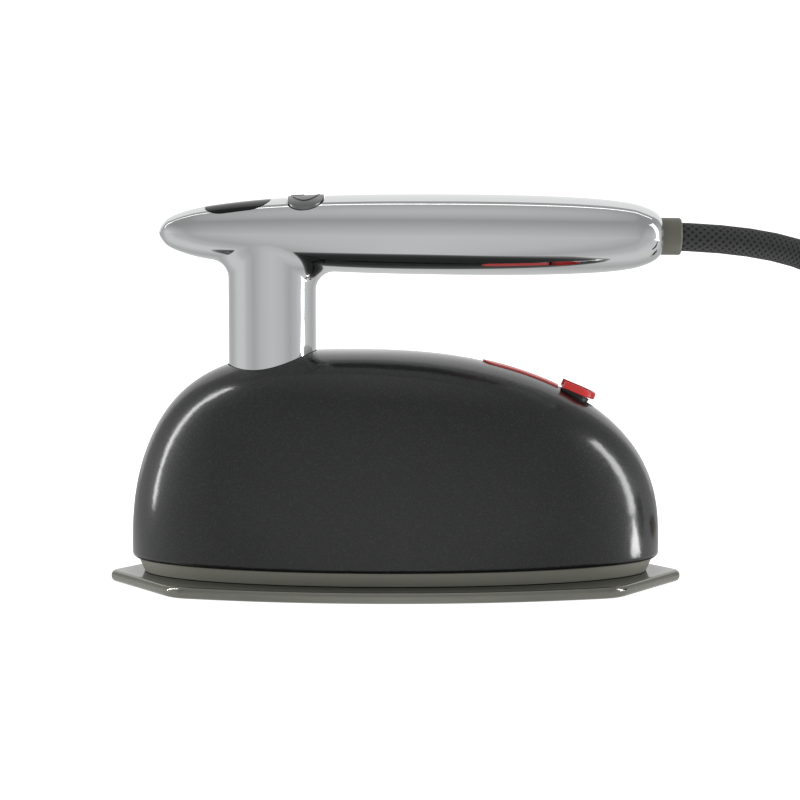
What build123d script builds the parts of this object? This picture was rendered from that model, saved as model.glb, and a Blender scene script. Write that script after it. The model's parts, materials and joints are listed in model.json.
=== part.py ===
"""Compact steam iron: a double-pointed soleplate, a domed body and a bar handle on one swivelling post.

Millimetres. The origin is the middle of the soleplate's underside, +Z is up, -X is the front
and +X is the end where the power cord leaves the handle.
"""

from build123d import *
import math
import os

# Soleplate
SOLE_LENGTH = 171.8
SOLE_WIDTH = 80.6
SOLE_THICK = 3.4
SOLE_CORNER = (65.2, 30.6)
SOLE_TIP_ROUND = 4.0
SOLE_CORNER_ROUND = 12.0
SOLE_EDGE_ROUND = 1.5
VENT_RADIUS = 1.2

# Steam casting on top of the soleplate, with its chamber and heater
CASTING = (68.0, 26.0)
CASTING_TOP = 9.8
CHAMBER = (44.0, 9.5)
CHAMBER_FLOOR = 4.6
GASKET_THICK = 0.6
COVER = (49.0, 13.5)
COVER_THICK = 1.0
COVER_TOP = CASTING_TOP + GASKET_THICK + COVER_THICK
HEATER_RADIUS = 3.2
HEATER_Z = 6.2
HEATER_LEG = (40.0, 15.0)
HEATER_TOP = 22.2
INLET_X = -12.0
COVER_SCREW = (30.0, 8.8)

# Skirt between the soleplate and the body
SKIRT_LOW = (75.6, 31.1, 3.55)
SKIRT_HIGH = (77.4, 32.9, 7.6)
SKIRT_BORE = (69.0, 27.0)
SKIRT_LIP = (75.2, 31.2)
FLANGE_BORE = (64.0, 23.0)
FLANGE_THICK = 2.0
FLANGE_TOP = CASTING_TOP + FLANGE_THICK

# Domed body: elliptical sections that shrink and drift forwards towards the top
BODY_HALF_LENGTH = 79.2
BODY_HALF_WIDTH = 34.5
BODY_LOW = 7.6
BODY_WIDEST = 13.3
BODY_TOP = 70.0
BODY_DRIFT = -12.8
BODY_PLAN_POWER = 2.65
BODY_RISE_POWER = 2.3
BODY_WALL = 2.5
BODY_EDGE_ROUND = 1.7
BOSS = (56.0, 15.0)
BOSS_RADIUS = 3.2

# Swivel of the handle's post in the body
POST_X = -36.8
POST_RADIUS = 13.05
POST_BORE = 9.0
POST_FOOT = 47.2
POST_FILLET = 5.5
SWIVEL_GAP = 0.3
BUSH_LOW = 51.2
BUSH_HIGH = 57.2
BUSH_RADIUS = 16.6
RING_GROOVE = 11.6
RING_THICK = 1.6
WASHER_THICK = 0.8

# Handle: a flattened bar on a nearly level axis
HANDLE_Z = 104.5
HANDLE_DROOP = 0.5
HANDLE_FLATTEN = 1.4
HANDLE_WALL = 2.2
HANDLE_PROFILE = [
    (-69.6, 2.1),
    (-67.6, 4.2),
    (-63.5, 6.0),
    (-58.6, 7.35),
    (-50.0, 8.75),
    (-40.6, 9.85),
    (-26.0, 11.0),
    (-10.0, 11.65),
    (10.0, 11.95),
    (28.0, 12.0),
    (46.0, 11.7),
    (61.4, 10.9),
    (70.4, 9.75),
    (74.9, 8.4),
    (77.7, 6.95),
]
HANDLE_FRONT = -70.4
HANDLE_REAR = 79.6
HANDLE_REAR_RADIUS = 5.65

# Window and button on the handle
WINDOW = (-56.6, -37.4, 17.0)
WINDOW_ROUND = 6.0
WINDOW_THICK = 1.5
BUTTON_X = -26.8
BUTTON = (5.5, 8.0)
BUTTON_PROUD = 0.45
BUTTON_GAP = 0.5
BUTTON_FLANGE = 1.3
BUTTON_LOW = 3.2
BUTTON_TRAVEL = 1.2
BOARD = (-52.0, -16.0, 11.0)
BOARD_LOW = -2.0
BOARD_THICK = 1.6
BOARD_TOP = BOARD_LOW + BOARD_THICK

# Filler
FILLER_X = 54.4
NECK_RADIUS = 6.0
NECK_BORE = 4.6
NECK_DEPTH = 13.0
CAP = (11.6, 10.6)
CAP_LIFT = 0.35
CAP_PLATE = 0.85
CAP_STEP = 0.9
CAP_FLOOR = 0.5
CAP_RIM = 1.85
CAP_WALL = 1.4
CAP_ROUND = 0.4
STEM_RADIUS = 3.0
STEM_DEPTH = 4.0
BEAD_RADIUS = 4.2
STRAP_START = 29.7
STRAP_WIDTH = 7.0
STRAP_PROUD = 0.45
STRAP_SUNK = 0.45

# Water side
TANK_FRONT = -12.0
TANK_REAR = 70.0
TANK_LOW = 24.2
TANK_GAP = 0.9
TANK_WALL = 1.7
PUMP = (-60.0, -24.0)
PUMP_RADIUS = 8.5
PUMP_Z = 26.2
HOSE_RADIUS = 2.5
HOSE_BORE = 1.5

# Power cord
CORD_DIAMETER = 8.5
CORD_INNER = 63.0
CORD_START = 77.0
GLAND_RADIUS = 5.65
GLAND = (73.0, 86.5)
COIL_CENTRE = (239.0, 2.0)
COIL_START_DEG = 270.0
COIL_OUTER = 50.0
COIL_PITCH = 9.0
COIL_TURNS_PER_LAYER = 1.375
COIL_LAYERS = 4
TIE_THICK = 1.4
TIE_WIDTH = 14.0
TIE_GAP = 0.6
TAIL_LENGTH = 26.0
PLUG_SIZE = (30.0, 23.0)
PLUG_ROUND = 4.0
SLEEVE = (18.0, 4.9, 5.7)
BLADE = (16.0, 6.3, 1.5)
BLADE_SPACING = 12.7

HANDLE = Pos(0, 0, HANDLE_Z) * Rot(0, HANDLE_DROOP, 0)
CORD_RADIUS = CORD_DIAMETER / 2


def ellipse_prism(size, low, high):
    """An elliptical prism between two heights."""
    return extrude(Pos(0, 0, low) * Ellipse(size[0], size[1]), high - low)


def rod(x, y, low, high, radius):
    """An upright cylinder between two heights."""
    return extrude(Pos(x, y, low) * Circle(radius), high - low)


def block(low, high):
    """A box between two corners."""
    size = [b - a for a, b in zip(low, high)]
    middle = [(a + b) / 2 for a, b in zip(low, high)]
    return Pos(*middle) * Box(*size)


def four(x, y):
    """The four mirrored places of a point."""
    return [(i * x, j * y) for i in (-1, 1) for j in (-1, 1)]


# Soleplate and steam chamber


def sole_outline():
    """The pointed plan of the soleplate: bowed sides between corners, and straight edges to the tips."""
    corner_x, corner_y = SOLE_CORNER
    slope = math.atan2(corner_y, SOLE_LENGTH / 2 - corner_x)
    tip = SOLE_LENGTH / 2 + SOLE_TIP_ROUND * (1 / math.sin(slope) - 1)
    left, right = (-corner_x, corner_y), (corner_x, corner_y)
    low_left, low_right = (-corner_x, -corner_y), (corner_x, -corner_y)
    edges = [
        ThreePointArc(left, (0, SOLE_WIDTH / 2), right),
        Line(right, (tip, 0)),
        Line((tip, 0), low_right),
        ThreePointArc(low_right, (0, -SOLE_WIDTH / 2), low_left),
        Line(low_left, (-tip, 0)),
        Line((-tip, 0), left),
    ]
    face = make_face(edges)
    tips = [v for v in face.vertices() if abs(v.Y) < 1]
    face = fillet(tips, SOLE_TIP_ROUND)
    corners = [v for v in face.vertices() if abs(v.X) < corner_x + 1 and abs(v.Y) > corner_y - 1]
    return fillet(corners, SOLE_CORNER_ROUND)


def heater_path():
    """A U round the chamber whose two ends stand up as terminals."""
    x, y = HEATER_LEG
    low, high = HEATER_Z, HEATER_TOP
    points = [(x, y, high), (x, y, low), (-x, y, low), (-x, -y, low), (x, -y, low), (x, -y, high)]
    return FilletPolyline(*points, radius=8)


def heating_element():
    path = heater_path()
    start = Plane(origin=path @ 0, z_dir=path % 0)
    return sweep(start * Circle(HEATER_RADIUS), path)


def soleplate():
    plate = extrude(sole_outline(), SOLE_THICK)
    rim = plate.edges().group_by(Axis.Z)
    plate = fillet(rim[0] + rim[-1], SOLE_EDGE_ROUND)
    sole = plate + ellipse_prism(CASTING, SOLE_THICK, CASTING_TOP)
    sole -= ellipse_prism(CHAMBER, CHAMBER_FLOOR, CASTING_TOP + 1)
    sole -= heating_element()
    for x, y in four(HEATER_LEG[0], HEATER_LEG[1])[2:]:
        sole -= rod(x, y, HEATER_Z, CASTING_TOP + 1, HEATER_RADIUS)
    for x, y in four(*COVER_SCREW):
        sole -= rod(x, y, CASTING_TOP - 4, CASTING_TOP + 1, 1.25)
    for row in (-5.5, 0, 5.5):
        for i in range(-4, 5):
            x = i * 8.0 + (4.0 if row == 0 else 0.0)
            if (x / CHAMBER[0]) ** 2 + (row / CHAMBER[1]) ** 2 < 0.82:
                sole -= rod(x, row, -1, CHAMBER_FLOOR + 1, VENT_RADIUS)
    return sole


def chamber_gasket():
    ring = ellipse_prism(COVER, CASTING_TOP, CASTING_TOP + GASKET_THICK)
    ring -= ellipse_prism(CHAMBER, 0, 20)
    for x, y in four(*COVER_SCREW):
        ring -= rod(x, y, 0, 20, 1.35)
    return ring


def steam_chamber_cover():
    plate = ellipse_prism(COVER, CASTING_TOP + GASKET_THICK, COVER_TOP)
    plate -= rod(INLET_X, 0, 0, 20, HOSE_BORE)
    for x, y in four(*COVER_SCREW):
        plate -= rod(x, y, 0, 20, 1.35)
    return plate


def chamber_screws():
    """Four pan-head screws through the cover and gasket into the casting."""
    screws = []
    for x, y in four(*COVER_SCREW):
        head = rod(x, y, COVER_TOP, COVER_TOP + 1.6, 2.4)
        head -= block((x - 3, y - 0.3, COVER_TOP + 0.8), (x + 3, y + 0.3, COVER_TOP + 2))
        screws.append(head + rod(x, y, CASTING_TOP - 3.8, COVER_TOP, 1.25))
    return Compound(children=screws)


def thermostat():
    """A bimetal disc thermostat with two blade terminals, clamped on the chamber cover."""
    x = 20.0
    body = rod(x, 0, COVER_TOP, COVER_TOP + 2, 6.6) + rod(x, 0, COVER_TOP + 2, COVER_TOP + 6, 7.6)
    for side in (-1, 1):
        low = (x - 2.4, side * 4.5 - 0.4, COVER_TOP + 6)
        high = (x + 2.4, side * 4.5 + 0.4, COVER_TOP + 11)
        body += block(low, high)
    return body


def thermal_fuse():
    """A sleeved thermal cut-out lying on the chamber cover."""
    z = COVER_TOP + 2.0
    sleeve = Pos(2, 0, z) * Rot(90, 0, 0) * Cylinder(2.0, 12.0)
    tails = Pos(2, 0, z) * Rot(90, 0, 0) * Cylinder(0.6, 20.0)
    return sleeve + tails


# Skirt and domed body


def insulating_skirt():
    """The tapered ring that shows under the body, with a lip into the body and a flange on the casting."""
    low = Pos(0, 0, SKIRT_LOW[2]) * Ellipse(*SKIRT_LOW[:2])
    high = Pos(0, 0, SKIRT_HIGH[2]) * Ellipse(*SKIRT_HIGH[:2])
    ring = loft([low, high])
    ring += ellipse_prism(SKIRT_LIP, SKIRT_HIGH[2] - 1, FLANGE_TOP)
    ring -= ellipse_prism(SKIRT_BORE, 0, CASTING_TOP)
    ring -= ellipse_prism(FLANGE_BORE, CASTING_TOP - 1, 30)
    for x, y in four(HEATER_LEG[0], HEATER_LEG[1])[2:]:
        ring -= rod(x, y, 0, 30, HEATER_RADIUS + 0.8)
    for x, y in four(*BOSS):
        ring -= rod(x, y, 0, 30, 1.3)
        ring -= rod(x, y, 0, CASTING_TOP + 0.9, 2.5)
    return ring


def dome(inset, low):
    """The body's form, drawn in by inset on every side, from a height up to its crown."""
    length, width = BODY_HALF_LENGTH - inset, BODY_HALF_WIDTH - inset
    rise = BODY_TOP - BODY_WIDEST - inset
    foot = (low + BODY_WIDEST) / 2
    sections = [Pos(0, 0, z) * Ellipse(length, width) for z in (low, foot)]
    for degrees in (0, 12, 24, 36, 48, 58, 66, 73, 79, 84, 87.5):
        angle = math.radians(degrees)
        up = math.sin(angle) ** (2 / BODY_RISE_POWER)
        out = math.cos(angle) ** (2 / BODY_PLAN_POWER)
        place = Pos(BODY_DRIFT * up**3, 0, BODY_WIDEST + rise * up)
        sections.append(place * Ellipse(length * out, width * out))
    crown = Vertex(BODY_DRIFT, 0, BODY_WIDEST + rise)
    return loft([*sections, crown])


def dome_height(x):
    """The height of the body's centreline at x, on the rear slope, found by halving."""
    low, high = 0.0, math.pi / 2

    def rear(angle):
        up = math.sin(angle) ** (2 / BODY_RISE_POWER)
        out = math.cos(angle) ** (2 / BODY_PLAN_POWER)
        return BODY_DRIFT * up**3 + BODY_HALF_LENGTH * out

    for _ in range(40):
        middle = (low + high) / 2
        low, high = (middle, high) if rear(middle) > x else (low, middle)
    up = math.sin(low) ** (2 / BODY_RISE_POWER)
    return BODY_WIDEST + (BODY_TOP - BODY_WIDEST) * up


def filler_place():
    """The frame at the filler's mouth: its Z is square to the body and its X runs down the slope."""
    ahead, behind = dome_height(FILLER_X - 1), dome_height(FILLER_X + 1)
    slope = math.degrees(math.atan2(ahead - behind, 2))
    return Pos(FILLER_X, 0, dome_height(FILLER_X)) * Rot(0, slope, 0)


def strap_area():
    """The plan of the stopper's strap, with a round front end."""
    rear = FILLER_X - CAP[0] / 2
    length = rear - STRAP_START
    area = Pos(STRAP_START + length / 2, 0) * Rectangle(length, STRAP_WIDTH)
    return area + Pos(STRAP_START, 0) * Circle(STRAP_WIDTH / 2)


def body_shell(outer, inner):
    rim = outer.edges().group_by(Axis.Z)[0]
    shell = fillet(rim, BODY_EDGE_ROUND) - inner
    for x, y in four(*BOSS):
        shell += rod(x, y, FLANGE_TOP, 60, BOSS_RADIUS) & dome(BODY_WALL / 2, BODY_LOW)
        shell -= rod(x, y, 0, FLANGE_TOP + 9, 1.25)
    shell += rod(POST_X, 0, BUSH_HIGH, 80, BUSH_RADIUS) & dome(BODY_WALL / 2, BODY_LOW)
    shell -= rod(POST_X, 0, 0, 100, POST_RADIUS + SWIVEL_GAP)
    shell -= filler_place() * Cylinder(NECK_RADIUS, 40)
    shell -= strap_groove(outer)
    return shell


def strap_groove(outer):
    groove = extrude(Pos(0, 0, 40) * strap_area(), 40) & outer
    return groove - dome(STRAP_SUNK, BODY_LOW)


def skirt_screws():
    """Four screws up through the flange into the body's bosses."""
    screws = []
    for x, y in four(*BOSS):
        head = rod(x, y, CASTING_TOP, CASTING_TOP + 0.9, 2.4)
        screws.append(head + rod(x, y, CASTING_TOP, FLANGE_TOP + 8, 1.2))
    return Compound(children=screws)


# Filler


def filler_neck(outer):
    tube = Cylinder(NECK_RADIUS, 2 * NECK_DEPTH) - Cylinder(NECK_BORE, 3 * NECK_DEPTH)
    return (filler_place() * tube) & outer


def filler_strap(proud):
    strap = extrude(Pos(0, 0, 40) * strap_area(), 40) & proud
    return strap - dome(STRAP_SUNK, BODY_LOW)


def cap_plan(inset, reach):
    """The stopper's plan drawn in by inset: a half-round end down the slope, and straight sides that reach forwards."""
    length, width = CAP
    middle = (length - width) / 2
    front = -length / 2 - reach
    plan = Pos(middle, 0) * Circle(width / 2 - inset)
    return plan + Pos((middle + front) / 2, 0) * Rectangle(middle - front, width - 2 * inset)


def filler_cap():
    """The stopper: a finger rim open to the front, on a smaller plate over a beaded stem."""
    rim_low = CAP_LIFT + CAP_PLATE
    rim = extrude(Pos(0, 0, rim_low) * cap_plan(0, 0), CAP_RIM)
    rim -= extrude(Pos(0, 0, rim_low + CAP_FLOOR) * cap_plan(CAP_WALL, 1), CAP_RIM)
    rim = fillet(rim.faces().sort_by(Axis.Z)[-1].edges(), CAP_ROUND)
    cap = rim + extrude(Pos(0, 0, CAP_LIFT) * cap_plan(CAP_STEP, 0), CAP_PLATE)
    cap += extrude(Pos(0, 0, -STEM_DEPTH) * Circle(STEM_RADIUS), STEM_DEPTH + CAP_LIFT)
    cap += extrude(Pos(0, 0, -0.8) * Circle(BEAD_RADIUS), 0.8 + CAP_LIFT)
    return filler_place() * cap


# Water side


def water_tank():
    """A closed tank that fills the rear of the body under the filler."""

    def room(gap, wall):
        low = (TANK_FRONT + wall, -40, TANK_LOW + wall)
        high = (TANK_REAR - wall, 40, BODY_TOP - 8 - wall)
        return dome(BODY_WALL + gap, BODY_LOW) & block(low, high)

    tank, space = room(TANK_GAP, 0), room(TANK_GAP + TANK_WALL, TANK_WALL)
    for x, y in four(*BOSS)[2:]:
        tank -= rod(x, y, 0, 80, BOSS_RADIUS + TANK_GAP)
        space -= rod(x, y, 0, 80, BOSS_RADIUS + TANK_GAP + TANK_WALL)
    tank -= space
    tank -= filler_place() * Cylinder(NECK_RADIUS, 60)
    tank -= Pos(TANK_FRONT, 0, PUMP_Z + 3.5) * Rot(0, 90, 0) * Cylinder(HOSE_BORE, 10)
    return tank


def water_pump():
    """A solenoid pump lying along the body, with both ports at its rear end."""
    front, rear = PUMP
    axis = Pos((front + rear) / 2, 0, PUMP_Z) * Rot(0, 90, 0)
    pump = axis * Cylinder(PUMP_RADIUS, rear - front)
    coil = block((front + 7, -10, PUMP_Z - 9), (rear - 9, 10, PUMP_Z + 9))
    pump += coil
    for z in (PUMP_Z + 3.5, PUMP_Z - 5.5):
        port = Pos(rear, 0, z) * Rot(0, 90, 0)
        pump += port * Pos(0, 0, 2) * Cylinder(HOSE_RADIUS, 4)
    return pump


def pump_bracket():
    """A bridge over the chamber cover that carries the pump on the skirt's flange."""
    top = PUMP_Z - 9
    bridge = block((PUMP[0] + 8, -20, top - 1.6), (PUMP[1] - 10, 20, top))
    for side in (-1, 1):
        low, high = sorted((side * 18.4, side * 20))
        bridge += block((PUMP[0] + 8, low, FLANGE_TOP), (PUMP[1] - 10, high, top - 1.6))
    return bridge


def tank_hose():
    start, end = PUMP[1] + 4, TANK_FRONT
    tube = Cylinder(HOSE_RADIUS, end - start) - Cylinder(HOSE_BORE, end - start)
    return Pos((start + end) / 2, 0, PUMP_Z + 3.5) * Rot(0, 90, 0) * tube


def dosing_hose():
    """From the pump's lower port down to the chamber's inlet."""
    z = PUMP_Z - 5.5
    path = FilletPolyline((PUMP[1] + 4, 0, z), (INLET_X, 0, z), (INLET_X, 0, COVER_TOP), radius=5)
    ring = Circle(HOSE_RADIUS) - Circle(HOSE_BORE)
    return sweep(Plane(origin=path @ 0, z_dir=path % 0) * ring, path)


# Swivel


def swivel_bush():
    """The plain bearing that the post turns in, under the body's crown."""
    return rod(POST_X, 0, BUSH_LOW, BUSH_HIGH, BUSH_RADIUS) - rod(
        POST_X, 0, 0, 80, POST_RADIUS + SWIVEL_GAP
    )


def thrust_washer():
    low = BUSH_LOW - WASHER_THICK
    return rod(POST_X, 0, low, BUSH_LOW, BUSH_RADIUS - 0.4) - rod(
        POST_X, 0, 0, 80, POST_RADIUS + SWIVEL_GAP
    )


def retaining_ring():
    """An open spring ring in the post's groove that keeps the post in its bush."""
    high = BUSH_LOW - WASHER_THICK - SWIVEL_GAP
    ring = rod(POST_X, 0, high - RING_THICK, high, POST_RADIUS + 3)
    ring -= rod(POST_X, 0, 0, 80, RING_GROOVE)
    return ring - block((POST_X, -2.5, 0), (POST_X + 30, 2.5, 80))


# Handle, built on its own level axis and then moved into place


def handle_form(grow):
    """The bar of the handle, larger by grow all over: flattened round sections behind a blunt nose."""
    front, rear = HANDLE_FRONT - grow, HANDLE_REAR + grow
    stations = [(x, r) for x, r in HANDLE_PROFILE if r + grow > 1.5 and x < rear - 0.5]
    sections = [Vertex(front, 0, 0)]
    for x, radius in [*stations, (rear, HANDLE_REAR_RADIUS)]:
        size = radius + grow
        sections.append(Plane.YZ.offset(x) * Ellipse(HANDLE_FLATTEN * size, size))
    return loft(sections)


def window_area(grow):
    front, rear, width = WINDOW
    place = Pos((front + rear) / 2, 0)
    return place * RectangleRounded(rear - front + 2 * grow, width + 2 * grow, WINDOW_ROUND + grow)


def button_area(grow):
    return Pos(BUTTON_X, 0) * Ellipse(BUTTON[1] + grow, BUTTON[0] + grow, rotation=90)


def upper_half(solid):
    return solid & block((-200, -60, 0), (200, 60, 60))


def lower_half(solid):
    return solid & block((-200, -60, -60), (200, 60, 0))


HANDLE_SCREWS_X = (20.0, 50.0)


def handle_upper_shell(bar, cavity):
    """The upper half of the handle, with a ledge for the window and a hole for the button."""
    shell = upper_half(bar - cavity)
    for x in HANDLE_SCREWS_X:
        shell += rod(x, 0, 0, 20, 3.2) & bar
        shell -= rod(x, 0, -1, 6.5, 1.25)
    shell -= extrude(window_area(0.1), 20) - handle_form(-WINDOW_THICK)
    shell -= extrude(button_area(BUTTON_GAP), 20)
    return shell - Pos(80, 0, 0) * Rot(0, 90, 0) * Cylinder(GLAND_RADIUS, 30)


def handle_lower_shell(bar, cavity):
    """The lower half of the handle and its hollow post, with the ring groove at its foot."""
    post = rod(POST_X, 0, POST_FOOT, HANDLE_Z, POST_RADIUS)
    shell = lower_half(bar) + lower_half(HANDLE.inverse() * post)
    joint = [e for e in shell.edges() if on_post(e)]
    shell = fillet(joint, POST_FILLET)
    shell -= cavity
    for x in (-48.5, -19.5):
        shell += rod(x, 0, -20, BOARD_LOW, 2.4) & bar
    for x in HANDLE_SCREWS_X:
        shell += rod(x, 0, -20, 0, 3.2) & bar
        shell -= rod(x, 0, -20, 1, 1.35)
        shell -= rod(x, 0, -20, -8.5, 2.7)
    shell -= Pos(80, 0, 0) * Rot(0, 90, 0) * Cylinder(GLAND_RADIUS, 30)
    shell = HANDLE * shell
    shell -= rod(POST_X, 0, 0, HANDLE_Z, POST_BORE)
    high = BUSH_LOW - WASHER_THICK - SWIVEL_GAP
    groove = rod(POST_X, 0, high - RING_THICK, high, 30) - rod(POST_X, 0, 0, 80, RING_GROOVE)
    return shell - groove


def on_post(edge):
    """Whether an edge is where the post runs into the handle."""
    points = [HANDLE * Pos(*(edge @ t)) for t in (0.2, 0.5, 0.8)]
    away = [math.hypot(p.position.X - POST_X, p.position.Y) for p in points]
    return all(abs(r - POST_RADIUS) < 0.02 for r in away) and points[1].position.Z > 80


def handle_screws():
    screws = []
    for x in HANDLE_SCREWS_X:
        screws.append(rod(x, 0, -10, -8.5, 2.5) + rod(x, 0, -8.5, 6, 1.2))
    return HANDLE * Compound(children=screws)


def indicator_window():
    lens = extrude(window_area(0), 20) & handle_form(0)
    return HANDLE * (lens - handle_form(-WINDOW_THICK))


def steam_button():
    """The oval push button, which follows the handle's crown and is kept in by a flange."""
    cap = extrude(Pos(0, 0, BUTTON_LOW) * button_area(0), 20) & handle_form(BUTTON_PROUD)
    flange = extrude(Pos(0, 0, BUTTON_LOW) * button_area(BUTTON_FLANGE), 1)
    return HANDLE * (cap + flange)


def button_spring():
    """A few turns of wire between the board and the button."""
    wire = 0.35
    height = BUTTON_LOW - BOARD_TOP - 2 * wire
    path = Helix(pitch=height / 3, height=height, radius=4.2)
    coil = sweep(Plane(origin=path @ 0, z_dir=path % 0) * Circle(wire), path)
    return HANDLE * Pos(BUTTON_X, 0, BOARD_TOP + wire) * coil


def control_board():
    front, rear, width = BOARD
    board = block((front, -width / 2, BOARD_LOW), (rear, width / 2, BOARD_TOP))
    return HANDLE * board


def button_switch():
    """The tact switch that the button presses."""
    body = block((BUTTON_X - 2.4, -2.4, BOARD_TOP), (BUTTON_X + 2.4, 2.4, BOARD_TOP + 1.6))
    return HANDLE * (body + rod(BUTTON_X, 0, BOARD_TOP + 1.6, BOARD_TOP + 2.1, 1.4))


def indicator_lamp():
    x = (WINDOW[0] + WINDOW[1]) / 2
    lamp = block((x - 1.5, -2, BOARD_TOP), (x + 1.5, 2, BOARD_TOP + 0.8))
    return HANDLE * (lamp + rod(x, 0, BOARD_TOP + 0.8, BOARD_TOP + 2.4, 1.2))


def cord_gland():
    """The short collar that the cord leaves the handle through."""
    inner, outer = GLAND
    collar = Pos((inner + outer) / 2, 0, 0) * Rot(0, 90, 0) * Cylinder(GLAND_RADIUS, outer - inner)
    collar = fillet(collar.edges().group_by(Axis.X)[-1], 0.8)
    bore = Pos(80, 0, 0) * Rot(0, 90, 0) * Cylinder(CORD_RADIUS, 40)
    return HANDLE * (collar - bore)


def cord_clamp():
    """A moulded saddle that grips the cord inside the handle."""
    saddle = block((65.0, -20, -20), (71.0, 20, 20)) & handle_form(-HANDLE_WALL - 0.05)
    return HANDLE * (saddle - Pos(68, 0, 0) * Rot(0, 90, 0) * Cylinder(CORD_RADIUS, 20))


def inner_lead():
    """The insulated leads from the cord, along the handle and down the post."""
    side = 5.6
    points = [(CORD_INNER - 1, side, -4.6), (POST_X, side, -4.6), (POST_X, side, -54)]
    path = FilletPolyline(*points, radius=10)
    return HANDLE * sweep(Plane(origin=path @ 0, z_dir=path % 0) * Circle(2.0), path)


# Power cord: a free lead down to a tied coil, and a plug beside the coil


def coil_point(turns):
    """The cord's centre after some turns of the coil, from its top layer down to its lowest.

    It spirals in and out, and goes down a layer in the half turn where it turns back.
    """
    layer, along = divmod(turns, COIL_TURNS_PER_LAYER)
    inward = along if layer % 2 == 0 else COIL_TURNS_PER_LAYER - along
    radius = COIL_OUTER - COIL_PITCH * inward
    nearest = min(max(round(turns / COIL_TURNS_PER_LAYER), 1), COIL_LAYERS - 1)
    drop = 2 * (turns - nearest * COIL_TURNS_PER_LAYER) + 0.5
    drop = min(max(drop, 0), 1)
    level = COIL_LAYERS - nearest - drop * drop * (3 - 2 * drop)
    angle = math.radians(COIL_START_DEG) + 2 * math.pi * turns
    return Vector(
        COIL_CENTRE[0] + radius * math.cos(angle),
        COIL_CENTRE[1] + radius * math.sin(angle),
        TIE_THICK + TIE_GAP / 2 + CORD_RADIUS + COIL_PITCH * level,
    )


COIL_TURNS = COIL_TURNS_PER_LAYER * COIL_LAYERS


def coil_heading(turns):
    step = 0.01
    before, after = max(turns - step, 0), min(turns + step, COIL_TURNS - 1e-6)
    return (coil_point(after) - coil_point(before)).normalized()


def biarc(start, heading, end, end_heading):
    """Two arcs from one point and heading to another, which meet smoothly."""
    across, both = end - start, heading + end_heading
    turn = 2 * (1 - heading.dot(end_heading))
    reach = (-across.dot(both) + math.sqrt(across.dot(both) ** 2 + turn * across.dot(across))) / turn
    first, second = start + heading * reach, end - end_heading * reach
    middle = (first + second) * 0.5
    return [
        TangentArc(start, middle, tangent=heading),
        TangentArc(middle, end, tangent=(second - first).normalized()),
    ]


def coil_path():
    """The coil's line: about quarter turns as biarcs, with a straight diameter at each end."""
    count = 6 * COIL_LAYERS
    places = [min(i * COIL_TURNS / count, COIL_TURNS - 1e-6) for i in range(count + 1)]
    points = [coil_point(t) for t in places]
    headings = [coil_heading(t) for t in places]
    edges = [Line(points[0] - headings[0] * CORD_DIAMETER, points[0])]
    for i in range(count):
        edges += biarc(points[i], headings[i], points[i + 1], headings[i + 1])
    edges.append(Line(points[-1], points[-1] + headings[-1] * CORD_DIAMETER))
    return Wire(edges)


def tube(path):
    """The cord along a path, with its volume set against its section times its length."""
    solid = sweep(Plane(origin=path @ 0, z_dir=path % 0) * Circle(CORD_RADIUS), path)
    expected = math.pi * CORD_RADIUS**2 * path.length
    print("tube length", round(path.length, 1), "volume share", round(solid.volume / expected, 4))
    return solid


def rounded_route(points):
    """Straight runs joined by arcs as large as the runs allow."""
    points = [Vector(*p) for p in points]
    radii = []
    for before, here, after in zip(points, points[1:], points[2:]):
        turn = math.radians((here - before).get_angle(after - here))
        shorter = min((here - before).length, (after - here).length)
        radii.append(0.45 * shorter / math.tan(turn / 2))
    print("cord radii", [round(r) for r in radii])
    return FilletPolyline(*points, radius=radii)


def lead_points():
    """Straight out of the handle, down under the cord's weight, and on to the top of the coil."""
    end = coil_point(0) - coil_heading(0) * CORD_DIAMETER
    return [
        (HANDLE * Pos(CORD_START, 0, 0)).position,
        (HANDLE * Pos(110, 0, 0)).position,
        (138.4, -8.9, 90.3),
        (156.2, -25.2, 66.5),
        (175.7, -40.8, 43.8),
        end - coil_heading(0) * 24,
        end,
    ]


def plug_place():
    """Where the cord enters the plug's sleeve, with X along the plug."""
    end = COIL_TURNS - 1e-6
    spot = coil_point(end) + coil_heading(end) * (CORD_DIAMETER + TAIL_LENGTH)
    heading = math.degrees(math.atan2(coil_heading(end).Y, coil_heading(end).X))
    return Pos(*spot) * Rot(0, 0, heading)


def cord_inner_end():
    """The end of the cord inside the handle, through its clamp."""
    length = CORD_START - CORD_INNER
    piece = Pos(CORD_INNER + length / 2, 0, 0) * Rot(0, 90, 0) * Cylinder(CORD_RADIUS, length)
    return HANDLE * piece


def power_cord():
    return tube(rounded_route(lead_points()))


def cord_coil():
    path = coil_path()
    steps = 40
    samples = [coil_point(i / steps) for i in range(round(COIL_TURNS * steps))]
    apart = min((a - b).length for i, a in enumerate(samples) for b in samples[i + steps // 2 :])
    print("least gap in the coil", round(apart - CORD_DIAMETER, 2))
    return tube(path)


def cord_tail():
    """A short straight end, from the coil's lowest turn into the plug's sleeve."""
    end = (plug_place() * Pos(-TAIL_LENGTH, 0, 0)).position
    return tube(Line(end, plug_place().position))


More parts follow.
